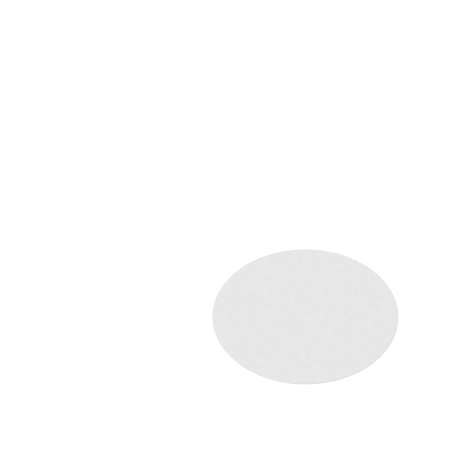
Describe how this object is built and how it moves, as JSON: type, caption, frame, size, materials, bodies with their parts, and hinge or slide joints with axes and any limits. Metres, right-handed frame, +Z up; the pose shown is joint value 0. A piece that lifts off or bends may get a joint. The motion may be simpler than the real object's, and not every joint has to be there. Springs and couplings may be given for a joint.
{
  "type": "filter paper disc",
  "caption": "Flat round disc of white cellulose filter paper with a clean die-cut edge, for lining the plate of a laboratory funnel.",
  "frame": {"origin": "middle of the lower face, the face that the disc rests on", "axes": "+Z up along the disc's axis, out of the upper face; +X and +Y lie in the sheet and no direction in it is marked"},
  "size_m": [0.09, 0.09, 0.0002],
  "materials": {
    "paper": "matte"
  },
  "bodies": {
    "root": {"paper_disc": "paper"}
  },
  "joints": []
}
